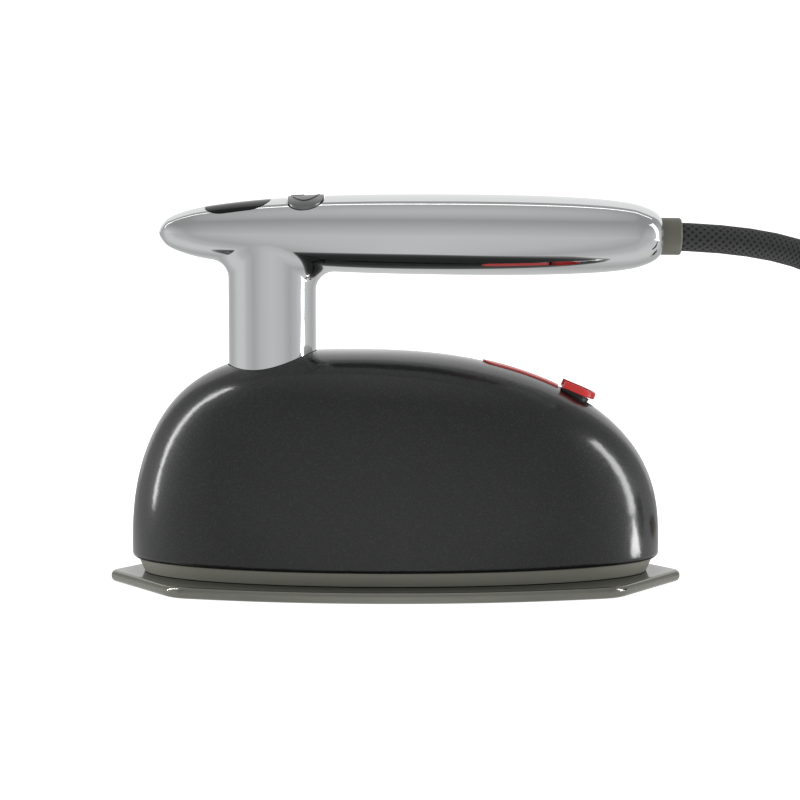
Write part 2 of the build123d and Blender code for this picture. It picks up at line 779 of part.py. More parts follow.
def cord_ties():
    """Two hook-and-loop bands round the bundle of turns."""
    inner = COIL_OUTER - COIL_PITCH * COIL_TURNS_PER_LAYER - CORD_RADIUS - TIE_GAP
    outer = COIL_OUTER + CORD_RADIUS + TIE_GAP
    top = TIE_THICK + TIE_GAP + COIL_LAYERS * COIL_PITCH
    half = TIE_WIDTH / 2
    ties = []
    for degrees in (0, 180):
        around = block((inner - TIE_THICK, -half, 0), (outer + TIE_THICK, half, top + TIE_THICK))
        around = fillet(around.edges().filter_by(Axis.Y), 4)
        around -= block((inner, -TIE_WIDTH, TIE_THICK), (outer, TIE_WIDTH, top))
        ties.append(Pos(*COIL_CENTRE, 0) * Rot(0, 0, degrees) * around)
    return Compound(children=ties)


def plug_body():
    """A moulded two-blade mains plug: a rounded grip behind a flat face, with a tapered cord sleeve."""
    length, width = PLUG_SIZE
    height = 2 * plug_place().position.Z
    sleeve_length, thin, thick = SLEEVE
    grip = Pos(sleeve_length + length / 2, 0, 0) * Box(length, width, height)
    grip = fillet(grip.edges().filter_by(Axis.X), PLUG_ROUND)
    grip = fillet(grip.faces().sort_by(Axis.X)[0].edges(), 2.5)
    sleeve = Pos(sleeve_length / 2, 0, 0) * Rot(0, 90, 0) * Cone(thin, thick, sleeve_length)
    return plug_place() * (grip + sleeve)


def plug_blades():
    length, width, thick = BLADE
    middle = SLEEVE[0] + PLUG_SIZE[0] + length / 2
    blades = [Pos(middle, side * BLADE_SPACING / 2, 0) * Box(length, thick, width) for side in (-1, 1)]
    return plug_place() * Compound(children=blades)


def all_parts():
    outer, inner = dome(0, BODY_LOW), dome(BODY_WALL, BODY_LOW - 1)
    bar, cavity = handle_form(0), handle_form(-HANDLE_WALL)
    return {
        "soleplate": soleplate(),
        "heating_element": heating_element(),
        "chamber_gasket": chamber_gasket(),
        "steam_chamber_cover": steam_chamber_cover(),
        "chamber_screws": chamber_screws(),
        "thermostat": thermostat(),
        "thermal_fuse": thermal_fuse(),
        "insulating_skirt": insulating_skirt(),
        "skirt_screws": skirt_screws(),
        "body_shell": body_shell(outer, inner),
        "filler_neck": filler_neck(outer),
        "filler_strap": filler_strap(dome(-STRAP_PROUD, BODY_LOW)),
        "filler_cap": filler_cap(),
        "water_tank": water_tank(),
        "water_pump": water_pump(),
        "pump_bracket": pump_bracket(),
        "tank_hose": tank_hose(),
        "dosing_hose": dosing_hose(),
        "swivel_bush": swivel_bush(),
        "thrust_washer": thrust_washer(),
        "retaining_ring": retaining_ring(),
        "handle_upper_shell": HANDLE * handle_upper_shell(bar, cavity),
        "handle_lower_shell": handle_lower_shell(bar, cavity),
        "handle_screws": handle_screws(),
        "indicator_window": indicator_window(),
        "steam_button": steam_button(),
        "button_spring": button_spring(),
        "button_switch": button_switch(),
        "control_board": control_board(),
        "indicator_lamp": indicator_lamp(),
        "inner_lead": inner_lead(),
        "cord_clamp": cord_clamp(),
        "cord_gland": cord_gland(),
        "cord_inner_end": cord_inner_end(),
        "power_cord": power_cord(),
        "cord_coil": cord_coil(),
        "cord_tail": cord_tail(),
        "cord_ties": cord_ties(),
        "plug_body": plug_body(),
        "plug_blades": plug_blades(),
    }


def main():
    os.makedirs("parts", exist_ok=True)
    for name, shape in all_parts().items():
        export_step(shape, f"parts/{name}.step")


main()
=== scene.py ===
# %% [markdown]
# # A compact steam iron
#
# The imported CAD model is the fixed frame: every solid is already in its place, in metres. This lesson adds what
# the eye needs on top of it: a camera, studio light, a braided cord, smooth glossy skins and finishes.

# %% The frame and its box
import json
import math

import bpy
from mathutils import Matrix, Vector
from mathutils.bvhtree import BVHTree


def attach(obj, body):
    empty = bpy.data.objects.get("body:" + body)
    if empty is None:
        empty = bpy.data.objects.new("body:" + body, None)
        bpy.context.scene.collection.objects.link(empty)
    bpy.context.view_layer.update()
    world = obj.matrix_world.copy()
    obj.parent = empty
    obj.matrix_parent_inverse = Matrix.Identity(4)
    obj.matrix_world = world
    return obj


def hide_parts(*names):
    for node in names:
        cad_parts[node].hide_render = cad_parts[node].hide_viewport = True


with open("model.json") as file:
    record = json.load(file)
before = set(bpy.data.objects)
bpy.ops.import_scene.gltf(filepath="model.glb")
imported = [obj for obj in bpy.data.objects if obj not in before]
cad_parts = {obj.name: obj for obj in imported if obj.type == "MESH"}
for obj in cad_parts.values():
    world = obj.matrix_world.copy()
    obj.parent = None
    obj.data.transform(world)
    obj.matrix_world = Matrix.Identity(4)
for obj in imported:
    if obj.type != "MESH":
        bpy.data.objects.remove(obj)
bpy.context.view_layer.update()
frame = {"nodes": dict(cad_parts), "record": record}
# One millimetre, in the frame's metres.
MM = 0.001
bpy.ops.object.select_all(action="DESELECT")
print("solids in the frame:", len(frame["nodes"]))

# %% [markdown]
# ## The camera
#
# The photograph looks straight at the iron's side, from a little above the handle, with a long lens: the top of
# the handle just shows. A long lens far away keeps the soleplate's two points level.

# %% The camera
SENSOR_WIDTH = 36.0
IMAGE_WIDTH_AT_IRON = 240.0 * MM
CAMERA_PLACE = Vector((1.35, -700.0, 123.0)) * MM
CAMERA_TARGET = Vector((1.35, 0.0, 54.8)) * MM


def aim(thing, target):
    """Turns a camera or a light so that it looks at a point."""
    thing.rotation_euler = (Vector(target) - thing.location).to_track_quat("-Z", "Y").to_euler()


bpy.ops.object.camera_add(location=CAMERA_PLACE)
camera = bpy.context.object
aim(camera, CAMERA_TARGET)
camera.data.sensor_width = SENSOR_WIDTH
camera.data.lens = SENSOR_WIDTH * (CAMERA_TARGET - CAMERA_PLACE).length / IMAGE_WIDTH_AT_IRON
bpy.context.scene.camera = camera
print("lens", round(camera.data.lens, 1), "mm")

# %% [markdown]
# ## Colours and nodes
#
# Finishes are worked out in nodes. Colours are written as the eye reads them, as sRGB hex values, and turned into
# the linear values that the shader wants. One small function adds a node with its settings and links.

# %% Colours and nodes


def linear(hex_colour):
    """An sRGB hex colour as linear red, green, blue and alpha."""
    parts = [int(hex_colour[i : i + 2], 16) / 255 for i in (0, 2, 4)]
    return tuple(c / 12.92 if c <= 0.04045 else ((c + 0.055) / 1.055) ** 2.4 for c in parts) + (1.0,)


def node(material, kind, inputs=None, **settings):
    """Adds one node: settings are its properties, and inputs are plain values or other nodes' outputs."""
    made = material.node_tree.nodes.new(kind)
    for key, value in settings.items():
        setattr(made, key, value)
    for key, value in (inputs or {}).items():
        if isinstance(value, bpy.types.NodeSocket):
            material.node_tree.links.new(value, made.inputs[key])
        else:
            made.inputs[key].default_value = value
    return made


def finish_of(name, **sockets):
    """A new material and its shader, with plain values on the shader's sockets."""
    material = bpy.data.materials.new(name)
    material.use_nodes = True
    shader = material.node_tree.nodes["Principled BSDF"]
    for key, value in sockets.items():
        shader.inputs[key.replace("_", " ").title().replace("Ior", "IOR")].default_value = value
    return material, shader


def join(material, output, socket):
    """Links a node's output to another node's socket."""
    material.node_tree.links.new(output, socket)


def grey_ramp(owner, value, stops):
    """Grey levels along a value, from stops of place and grey."""
    ramp = node(owner, "ShaderNodeValToRGB", {"Fac": value})
    elements = ramp.color_ramp.elements
    elements.remove(elements[1])
    for spot, grey in stops[1:]:
        elements.new(spot).color = (grey, grey, grey, 1)
    elements[0].position = stops[0][0]
    elements[0].color = (stops[0][1], stops[0][1], stops[0][1], 1)
    return ramp.outputs["Color"]


print("mid grey in linear light:", round(linear("808080")[0], 3))

# %% [markdown]
# ## The braided cord
#
# A textile-covered mains lead leaves the handle, hangs down to the surface and is put away in a tied coil. A rope
# could be simulated, but a spline gives the same line every time. The coil's points come from a formula: rings that
# go in and out by turns, a layer lower each time. The free lead's points are given one by one.

# %% The cord's coil
CORD_DIAMETER = 8.5 * MM
CORD_LENGTH = 1.74
COIL_CENTRE = Vector((239.0, 2.0, 0.0)) * MM
COIL_OUTER = 50.0 * MM
COIL_PITCH = 9.0 * MM
COIL_LAYERS = 4
TURNS_PER_LAYER = 1.375
# Turns over which the cord comes down from one layer to the next.
DROP_TURNS = 0.5
COIL_START_DEG = 270.0
COIL_FOOT = 1.7 * MM
POINTS_PER_TURN = 16


def coil_point(turns):
    """The cord's centre after some turns: in and out, and down a layer where it turns back."""
    layer, along = divmod(turns, TURNS_PER_LAYER)
    inward = along if layer % 2 == 0 else TURNS_PER_LAYER - along
    radius = COIL_OUTER - COIL_PITCH * inward
    nearest = min(max(round(turns / TURNS_PER_LAYER), 1), COIL_LAYERS - 1)
    drop = min(max((turns - nearest * TURNS_PER_LAYER) / DROP_TURNS + 0.5, 0), 1)
    level = COIL_LAYERS - nearest - drop * drop * (3 - 2 * drop)
    angle = math.radians(COIL_START_DEG) + 2 * math.pi * turns
    height = COIL_FOOT + CORD_DIAMETER / 2 + COIL_PITCH * level
    return COIL_CENTRE + Vector((radius * math.cos(angle), radius * math.sin(angle), height))


# A hair short of the full turns, so that the last point is still on the last layer.
coil_turns = COIL_LAYERS * TURNS_PER_LAYER - 1e-6
steps = round(coil_turns * POINTS_PER_TURN)
coil = [coil_point(coil_turns * i / steps) for i in range(steps + 1)]
print("coil", round(coil_turns, 2), "turns in", len(coil), "points")

# %% The cord's line
HANDLE_Z = 104.5 * MM
HANDLE_DROOP = math.radians(0.5)
# Where the cord comes out, in millimetres along the handle.
CORD_EXIT = 77.0
# Straight runs into the coil, and out of it to the plug.
COIL_APPROACH = 32.5 * MM
TAIL_END = 34.5 * MM
# How finely the tube is drawn, round and along. The coil's end directions are taken over a small part of a turn.
CORD_ROUND = 6
CORD_STEPS = 6
CORD_ORDER = 3
NUDGE = 0.01


def on_handle(x):
    """The point x millimetres along the handle's own, slightly drooping axis."""
    return Vector((x * math.cos(HANDLE_DROOP), 0, -x * math.sin(HANDLE_DROOP))) * MM + Vector((0, 0, HANDLE_Z))


def curve_object(name, kind, places, dimensions="3D"):
    """A curve with one spline along places in metres: POLY goes in straight steps, NURBS is smooth."""
    data = bpy.data.curves.new(name, "CURVE")
    data.dimensions = dimensions
    line = data.splines.new(kind)
    line.points.add(len(places) - 1)
    for point, place in zip(line.points, places):
        point.co = (*place, 1)
    made = bpy.data.objects.new(name, data)
    bpy.context.scene.collection.objects.link(made)
    return made


def make_tube(thing, radius, roundness):
    """Gives a curve a round section and closed ends."""
    thing.data.bevel_depth = radius
    thing.data.bevel_resolution = roundness
    thing.data.use_fill_caps = True


into_coil = (coil_point(NUDGE) - coil_point(0)).normalized()
out_of_coil = (coil_point(coil_turns) - coil_point(coil_turns - NUDGE)).normalized()
lead = [
    on_handle(CORD_EXIT),
    on_handle(110),
    Vector((138.4, -8.9, 90.3)) * MM,
    Vector((156.2, -25.2, 66.5)) * MM,
    Vector((175.7, -40.8, 43.8)) * MM,
    coil[0] - into_coil * COIL_APPROACH,
    coil[0] - into_coil * CORD_DIAMETER,
]
tail = [coil[-1] + out_of_coil * CORD_DIAMETER, coil[-1] + out_of_coil * TAIL_END]
cord = curve_object("braided_cord", "NURBS", lead + coil + tail)
make_tube(cord, CORD_DIAMETER / 2, CORD_ROUND)
cord.data.resolution_u = CORD_STEPS
cord.data.splines[0].order_u = CORD_ORDER
cord.data.splines[0].use_endpoint_u = True
print("cord control points", len(lead + coil + tail))

# %% [markdown]
# ## The chrome handle
#
# On the real iron the handle is two plated mouldings. Chrome shows every facet, so a bar built up by hand from a few
# rings would ripple. Here a straight curve takes the bar's thickness at each place as its radius, with many rings
# from a smooth formula, then becomes a mesh and is widened.

# %% The bar's thickness
# Distance along the bar and half its height there, in millimetres.
BAR_STATIONS = (
    (-70.4, 0.0),
    (-69.6, 2.1),
    (-67.6, 4.2),
    (-63.5, 6.0),
    (-58.6, 7.35),
    (-50.0, 8.75),
    (-40.6, 9.85),
    (-26.0, 11.0),
    (-10.0, 11.65),
    (10.0, 11.95),
    (28.0, 12.0),
    (46.0, 11.7),
    (61.4, 10.9),
    (70.4, 9.75),
    (74.9, 8.4),
    (77.4, 7.1),
    (79.0, 5.5),
)


def smooth_through(stations, x):
    """The value at x of a smooth cubic through the stations."""
    last = len(stations) - 1
    i = next((k for k in range(last) if x <= stations[k + 1][0]), last - 1)

    def slope(k):
        """The steepness at a station, from its two neighbours."""
        (x0, y0), (x1, y1) = stations[max(k - 1, 0)], stations[min(k + 1, last)]
        return (y1 - y0) / (x1 - x0)

    (x0, y0), (x1, y1) = stations[i], stations[i + 1]
    t = (x - x0) / (x1 - x0)
    rise = t * (1 - t) ** 2 * slope(i) - t * t * (1 - t) * slope(i + 1)
    return (1 + 2 * t) * (1 - t) ** 2 * y0 + t * t * (3 - 2 * t) * y1 + rise * (x1 - x0)


print("bar's half height in the middle:", round(smooth_through(BAR_STATIONS, 0.0), 2), "mm")

# %% The bar
# Width for height, rings along the bar, how round each ring is, and the least radius, in millimetres.
BAR_WIDER = 1.4
BAR_RINGS = 180
BAR_ROUND = 46
BAR_LEAST = 0.1


def select_only(thing):
    """Leaves one object selected and active."""
    bpy.ops.object.select_all(action="DESELECT")
    thing.select_set(True)
    bpy.context.view_layer.objects.active = thing


def onto_handle(thing):
    """Moves something made level at the origin to the handle's drooping axis, and fixes it there."""
    select_only(thing)
    thing.rotation_euler = (0, HANDLE_DROOP, 0)
    thing.location = (0, 0, HANDLE_Z)
    bpy.ops.object.transform_apply(location=True, rotation=True, scale=True)


def as_mesh(thing):
    """Turns a curve object into a mesh object."""
    select_only(thing)
    bpy.ops.object.convert(target="MESH")
    return bpy.context.object


def bar_mesh(name, thicker=1.0):
    """The bar as a closed mesh, with its height and width scaled."""
    squares = [(x, r * r) for x, r in BAR_STATIONS]
    front, rear = BAR_STATIONS[0][0], BAR_STATIONS[-1][0]
    angles = [math.pi * i / (BAR_RINGS - 1) for i in range(BAR_RINGS)]
    places = [front + (rear - front) * (1 - math.cos(a)) / 2 for a in angles]
    made = curve_object(name, "POLY", [(x * MM, 0, 0) for x in places])
    make_tube(made, MM, BAR_ROUND)
    for ring, x in zip(made.data.splines[0].points, places):
        ring.radius = max(math.sqrt(max(smooth_through(squares, x), 0)), BAR_LEAST) * thicker
    made = as_mesh(made)
    made.scale = (1, BAR_WIDER, 1)
    onto_handle(made)
    return made


bar = bar_mesh("chrome_handle")
print("bar", len(bar.data.polygons), "faces")

# %% [markdown]
# ## The post
#
# The post runs up into the bar with a soft fillet, as if a ball had been rolled round the corner. A plain union of
# the two would leave a hard crease. So for each direction round the post, the ball's height is found where it just
# touches the bar, and the skin follows the post, then the ball.

# %% The post
POST_X = -36.8 * MM
POST_RADIUS = 13.05 * MM
POST_FOOT = 47.2 * MM
POST_FILLET = 5.5 * MM
# Faces round the post, up its straight part and round its corner.
POST_AROUND = 128
POST_UP = 8
POST_CORNER = 14
# Steps in the search for the ball's height, and the distance within which points are merged.
HALVINGS = 30
WELD = 0.001 * MM


def surface_of(thing):
    """A search tree of an object's faces."""
    return BVHTree.FromPolygons([v.co for v in thing.data.vertices], [p.vertices for p in thing.data.polygons])


bar_tree = surface_of(bar)


def ball_at(direction):
    """The rolled ball's centre beside the post, and the point where it touches the bar."""
    low, high = POST_FOOT, HANDLE_Z
    for _ in range(HALVINGS):
        middle = (low + high) / 2
        centre = Vector((POST_X, 0, middle)) + direction * (POST_RADIUS + POST_FILLET)
        touch, _, _, away = bar_tree.find_nearest(centre)
        low, high = (middle, high) if away > POST_FILLET else (low, middle)
    return centre, touch


bpy.ops.mesh.primitive_grid_add(size=1, x_subdivisions=POST_AROUND, y_subdivisions=POST_UP + POST_CORNER)
post = bpy.context.object
columns = {}
for vertex in post.data.vertices:
    around = round((vertex.co.x + 0.5) * POST_AROUND) % POST_AROUND
    row = round((vertex.co.y + 0.5) * (POST_UP + POST_CORNER))
    angle = 2 * math.pi * around / POST_AROUND
    direction = Vector((math.cos(angle), math.sin(angle), 0))
    if around not in columns:
        columns[around] = ball_at(direction)
    centre, touch = columns[around]
    if row <= POST_UP:
        vertex.co = Vector((POST_X, 0, POST_FOOT)) + direction * POST_RADIUS
        vertex.co.z += (centre.z - POST_FOOT) * row / POST_UP
    else:
        turned = (-direction).slerp((touch - centre).normalized(), (row - POST_UP) / POST_CORNER)
        vertex.co = centre + turned * POST_FILLET
select_only(post)
bpy.ops.object.mode_set(mode="EDIT")
bpy.ops.mesh.select_all(action="SELECT")
bpy.ops.mesh.remove_doubles(threshold=WELD)
bpy.ops.mesh.normals_make_consistent(inside=False)
bpy.ops.object.mode_set(mode="OBJECT")
print("post", len(post.data.polygons), "faces")

# %% [markdown]
# ## Window and button
#
# A black window and an oval push button lie in the top of the bar. Each is the bar's own form cut out by an upright
# prism, so their tops follow the bar; the same prisms, a little larger, cut the openings.

# %% Tools for cutting
# Top of the prisms above the handle's middle, in millimetres, and the faces round each of their corners.
PRISM_TOP = 25.0
CORNER_STEPS = 12
# Edges sharper than the first angle are rounded, and faces within the second are shaded as one.
SHARP_DEG = 40
SMOOTH_DEG = 35
EDGE_STEPS = 3


def prism_over(plan, low, grow):
    """An upright prism with round corners over a plan, from low up, larger by grow."""
    front, rear, width, corner = plan
    height = PRISM_TOP - low
    bpy.ops.mesh.primitive_cube_add(size=1)
    prism = bpy.context.object
    prism.scale = ((rear - front + 2 * grow) * MM, (width + 2 * grow) * MM, height * MM)
    prism.location = ((front + rear) / 2 * MM, 0, (low + height / 2 - grow) * MM)
    bpy.ops.object.transform_apply(location=True, rotation=True, scale=True)
    for edge in prism.data.edges:
        a, b = (prism.data.vertices[v].co for v in edge.vertices)
        edge.select = abs(a.z - b.z) > height / 2 * MM
    bpy.ops.object.mode_set(mode="EDIT")
    bpy.ops.mesh.select_mode(type="EDGE")
    bpy.ops.mesh.bevel(offset=(corner + grow) * MM, segments=CORNER_STEPS)
    bpy.ops.object.mode_set(mode="OBJECT")
    onto_handle(prism)
    return prism


def cut(thing, tool, operation):
    """Cuts one mesh by another, and takes the tool away."""
    select_only(thing)
    change = thing.modifiers.new("cut", "BOOLEAN")
    change.operation = operation
    change.object = tool
    change.solver = "EXACT"
    bpy.ops.object.modifier_apply(modifier=change.name)
    bpy.data.objects.remove(tool)


def soften(thing, width):
    """Rounds the edges of a cut piece and shades it smooth."""
    select_only(thing)
    edge = thing.modifiers.new("edge", "BEVEL")
    edge.width = width
    edge.segments = EDGE_STEPS
    edge.limit_method = "ANGLE"
    edge.angle_limit = math.radians(SHARP_DEG)
    bpy.ops.object.modifier_apply(modifier=edge.name)
    bpy.ops.object.shade_smooth_by_angle(angle=math.radians(SMOOTH_DEG))


print("prisms reach", PRISM_TOP, "mm above the handle's middle")

# %% The window and the button
# Front, rear, width and corner radius of each plan, in millimetres along the handle.
WINDOW = (-56.6, -37.2, 19.0, 6.0)
WINDOW_GAP = 0.15
WINDOW_EDGE = 0.12
BUTTON = (-31.9, -21.5, 22.6, 4.6)
BUTTON_GAP = 0.5
BUTTON_EDGE = 0.4
# The button is cut from a bar thicker by this much, so that it stands proud.
BUTTON_PROUD = 1.035
# Low faces of the two pieces above the handle's middle. The button's pocket is deeper by its travel.
WINDOW_LOW = 2.5
BUTTON_LOW = 3.4
BUTTON_TRAVEL = 1.2
window = bar_mesh("window_lens")
cut(window, prism_over(WINDOW, WINDOW_LOW, 0), "INTERSECT")
soften(window, WINDOW_EDGE * MM)
button = bar_mesh("steam_button_top", BUTTON_PROUD)
cut(button, prism_over(BUTTON, BUTTON_LOW, 0), "INTERSECT")
soften(button, BUTTON_EDGE * MM)
cut(bar, prism_over(WINDOW, WINDOW_LOW, WINDOW_GAP), "DIFFERENCE")
cut(bar, prism_over(BUTTON, BUTTON_LOW - BUTTON_TRAVEL, BUTTON_GAP), "DIFFERENCE")
select_only(bar)
post.select_set(True)
bpy.ops.object.join()
bpy.ops.object.shade_smooth_by_angle(angle=math.radians(SMOOTH_DEG))
print("window", len(window.data.polygons), "button", len(button.data.polygons), "handle", len(bar.data.polygons))

# %% [markdown]
# ## The sign on the button
#
# The button carries the usual on-off sign: a ring with a gap and a short stroke. It could be printed as a colour, but
# raised lines are seen from any side, so each is a narrow tube that follows the button's top.

# %% The sign
# Half length and half width of the ring, half the angle of its gap, and the thickness of the lines, in millimetres.
SIGN = (4.0, 7.8)
SIGN_GAP_DEG = 30
SIGN_LINE = 0.42
SIGN_STEPS = 40
# The stroke's front end, from the ring's middle, and its length.
STROKE = (-4.4, 4.0)
STROKE_STEPS = 8
LINE_ROUND = 3
DOWN = Vector((0, 0, -1))
button_tree = surface_of(button)


def laid_line(name, places):
    """A thin tube along plan points, dropped onto the button below them."""
    made = curve_object(name, "POLY", [button_tree.ray_cast(Vector((x, y, 1)), DOWN)[0] for x, y in places])
    make_tube(made, SIGN_LINE / 2 * MM, LINE_ROUND)
    return as_mesh(made)


sign_x = (BUTTON[0] + BUTTON[1]) / 2
gap = math.radians(SIGN_GAP_DEG)
angles = [math.pi + gap + (2 * math.pi - 2 * gap) * i / SIGN_STEPS for i in range(SIGN_STEPS + 1)]
ring = [((sign_x + SIGN[0] * math.cos(a)) * MM, SIGN[1] * math.sin(a) * MM) for a in angles]
stroke = [((sign_x + STROKE[0] + STROKE[1] * i / STROKE_STEPS) * MM, 0) for i in range(STROKE_STEPS + 1)]
sign = laid_line("on_off_sign", ring)
laid_line("stroke", stroke).select_set(True)
sign.select_set(True)
bpy.context.view_layer.objects.active = sign
bpy.ops.object.join()
bpy.ops.object.shade_smooth()
print("sign", len(sign.data.polygons), "faces")

# %% [markdown]
# ## The collar
#
# A short moulded collar closes the bar round the cord. It could be a turned profile, but a plain cylinder with both
# ends rounded over has the same form.

# %% The collar
# Front and rear ends along the handle, radius and rounding, in millimetres.
COLLAR = (74.0, 85.0)
COLLAR_RADIUS = 5.55
COLLAR_EDGE = 0.7
COLLAR_SIDES = 96
bpy.ops.mesh.primitive_cylinder_add(
    vertices=COLLAR_SIDES, radius=COLLAR_RADIUS * MM, depth=(COLLAR[1] - COLLAR[0]) * MM
)
collar = bpy.context.object
collar.name = "cord_collar"
collar.rotation_euler = (0, math.pi / 2, 0)
collar.location = ((COLLAR[0] + COLLAR[1]) / 2 * MM, 0, 0)
bpy.ops.object.transform_apply(location=True, rotation=True, scale=True)
onto_handle(collar)
soften(collar, COLLAR_EDGE * MM)
print("collar", len(collar.data.polygons), "faces")

# %% [markdown]
# ## The stopper
#
# The red stopper is soft rubber. A lip with a full-round top runs round three sides of a thin floor, and a beaded
# stem plugs the neck. It could be carved from a block, but here the lip is one rounded section drawn along a U, so
# that the light catches its whole upper edge.

# %% The stopper's lines
# Front end, middle of the round end and half width of the lip's centre line, in millimetres.
LIP_FRONT, LIP_MIDDLE, LIP_HALF = -5.6, -0.5, 4.6
BEND_STEPS = 24
# The lip's section, out and up: eased below and sloped off above.
LIP_SECTION = (
    (-0.70, 0.45), (-0.70, -0.90), (-0.55, -1.05), (0.55, -1.05), (0.70, -0.90), (0.70, 0.45), (0.48, 0.86),
    (0.18, 1.05), (-0.18, 1.05), (-0.48, 0.86),
)


def u_line():
    """The U round three sides of the stopper."""
    bend = [math.pi / 2 - math.pi * i / BEND_STEPS for i in range(BEND_STEPS + 1)]
    bend = [(LIP_MIDDLE + LIP_HALF * math.cos(a), LIP_HALF * math.sin(a)) for a in bend]
    return [(LIP_FRONT, LIP_HALF)] + bend + [(LIP_FRONT, -LIP_HALF)]


def plan_curve(name, places, dimensions, closed):
    """A curve object of straight steps through plan places in millimetres."""
    made = curve_object(name, "POLY", [(x * MM, y * MM, 0) for x, y in places], dimensions)
    made.data.splines[0].use_cyclic_u = closed
    return made


section = plan_curve("lip_section", LIP_SECTION, "2D", True)
stopper = plan_curve("filler_stopper", u_line(), "3D", False)
plate = plan_curve("floor_plate", u_line(), "2D", True)
print("lip drawn through", len(u_line()), "places")

# %% The stopper
# The middle of the neck's mouth, and the slope of the dome there.
FILLER = Vector((54.4, 0, 56.076)) * MM
FILLER_SLOPE_DEG = 30.209
# The lip and its floor stand up a little at the rear, for a fingernail.
LIP_TILT_DEG = 7.5
# Heights of the lip's and the floor's middles above the mouth, in millimetres.
LIP_AT = 1.98
FLOOR_AT = 1.18
FLOOR_THICK = 0.5
# Radius, low end and high end of the stem and of its bead.
STEM = ((2.6, -4.0, 1.2), (4.2, -1.5, -0.6))
STEM_SIDES = 64
RUBBER_SMOOTH_DEG = 40


def make_slab(thing, thick, at):
    """Fills a closed plan curve and gives it a thickness and a height, in millimetres."""
    thing.data.fill_mode = "BOTH"
    thing.data.extrude = thick / 2 * MM
    thing.location.z = at * MM


def onto_filler(thing):
    """Moves something made level at the origin to the filler's mouth, fixes it there and shades it."""
    select_only(thing)
    bpy.ops.object.transform_apply(location=True, rotation=True, scale=True)
    thing.rotation_euler.y = math.radians(FILLER_SLOPE_DEG)
    thing.location = FILLER
    bpy.ops.object.transform_apply(location=True, rotation=True, scale=True)
    bpy.ops.object.shade_smooth_by_angle(angle=math.radians(RUBBER_SMOOTH_DEG))


stopper.data.twist_mode = "Z_UP"
stopper.data.bevel_mode = "OBJECT"
stopper.data.bevel_object = section
stopper.data.use_fill_caps = True
stopper.location.z = LIP_AT * MM
make_slab(plate, FLOOR_THICK, FLOOR_AT)
parts = [stopper, plate]
for part in parts:
    part.rotation_euler.y = -math.radians(LIP_TILT_DEG)
for radius, low, high in STEM:
    bpy.ops.mesh.primitive_cylinder_add(vertices=STEM_SIDES, radius=radius * MM, depth=(high - low) * MM)
    parts.append(bpy.context.object)
    parts[-1].location.z = (low + high) / 2 * MM
select_only(stopper)
for part in parts:
    part.select_set(True)
bpy.ops.object.convert(target="MESH")
bpy.ops.object.join()
stopper = bpy.context.object
bpy.data.objects.remove(section)
onto_filler(stopper)
print("stopper", [round(d / MM, 2) for d in stopper.dimensions], "mm")

# %% [markdown]
# ## The seal
#
# Under the tilted lip a dark seal lies on the dome, so that no light shows through the gap. Its black is painted
# shade: it stands in for the shadow under the lip. It is the stopper's own plan, drawn in a little and made thick; a
# ring would do as well, but its hole would never be seen.

# %% The seal
SEAL_SCALE = 0.88
SEAL_THICK = 1.4
SEAL_AT = 0.2
# The seal is black to paint the shadow under the lip.
shade_seal = plan_curve("stopper_shade_seal", [(SEAL_SCALE * x, SEAL_SCALE * y) for x, y in u_line()], "2D", True)
make_slab(shade_seal, SEAL_THICK, SEAL_AT)
shade_seal = as_mesh(shade_seal)
onto_filler(shade_seal)
print("shade_seal", [round(d / MM, 2) for d in shade_seal.dimensions], "mm")

# %% [markdown]
# ## The paper
#
# The picture is a catalogue shot on white with no shadow to speak of, so the iron stands on a sweep of white paper: a
# floor and a wall behind it. Plain white paper would wash out the chrome. So it is white to the lens, and a step
# greyer in reflections, where the tone changes from straight ahead of the iron round to its ends.

# %% The paper's finish
PAPER_GLOW = 0.78
# Grey of the floor in reflections, by how far it lies to either side.
FLOOR_ASIDE = ((0.0, 0.68), (0.45, 0.62), (0.75, 0.5), (0.92, 0.6), (0.99, 0.74))
# Grey of the wall in reflections, and the height where it begins.
WALL_GREY = 0.95
WALL_FROM = 0.01
material, shader = finish_of("white_paper_sweep", base_color=linear("F4F4F4"), roughness=0.9)
shader.inputs["Emission Color"].default_value = (1, 1, 1, 1)
shader.inputs["Emission Strength"].default_value = PAPER_GLOW
place = node(material, "ShaderNodeTexCoord").outputs["Object"]
flat = node(material, "ShaderNodeMapping", {"Vector": place, "Scale": (1, 1, 0)})
heading = node(material, "ShaderNodeVectorMath", {0: flat.outputs[0]}, operation="NORMALIZE")
aside = node(material, "ShaderNodeSeparateXYZ", {"Vector": heading.outputs[0]})
aside = node(material, "ShaderNodeMath", {0: aside.outputs["X"]}, operation="ABSOLUTE")
upright = node(material, "ShaderNodeSeparateXYZ", {"Vector": place})
upright = node(material, "ShaderNodeMath", {0: upright.outputs["Z"], 1: WALL_FROM}, operation="GREATER_THAN")
tone = node(material, "ShaderNodeMix", {"Factor": upright.outputs[0]}, data_type="RGBA")
tone.inputs["B"].default_value = (WALL_GREY, WALL_GREY, WALL_GREY, 1)
join(material, grey_ramp(material, aside.outputs[0], FLOOR_ASIDE), tone.inputs["A"])
bounce = node(material, "ShaderNodeEmission", {"Color": tone.outputs["Result"]})
to_lens = node(material, "ShaderNodeLightPath").outputs["Is Camera Ray"]
either = node(material, "ShaderNodeMixShader", {0: to_lens, 1: bounce.outputs[0], 2: shader.outputs[0]})
join(material, either.outputs[0], material.node_tree.nodes["Material Output"].inputs["Surface"])
print("paper's finish", len(material.node_tree.nodes), "nodes")

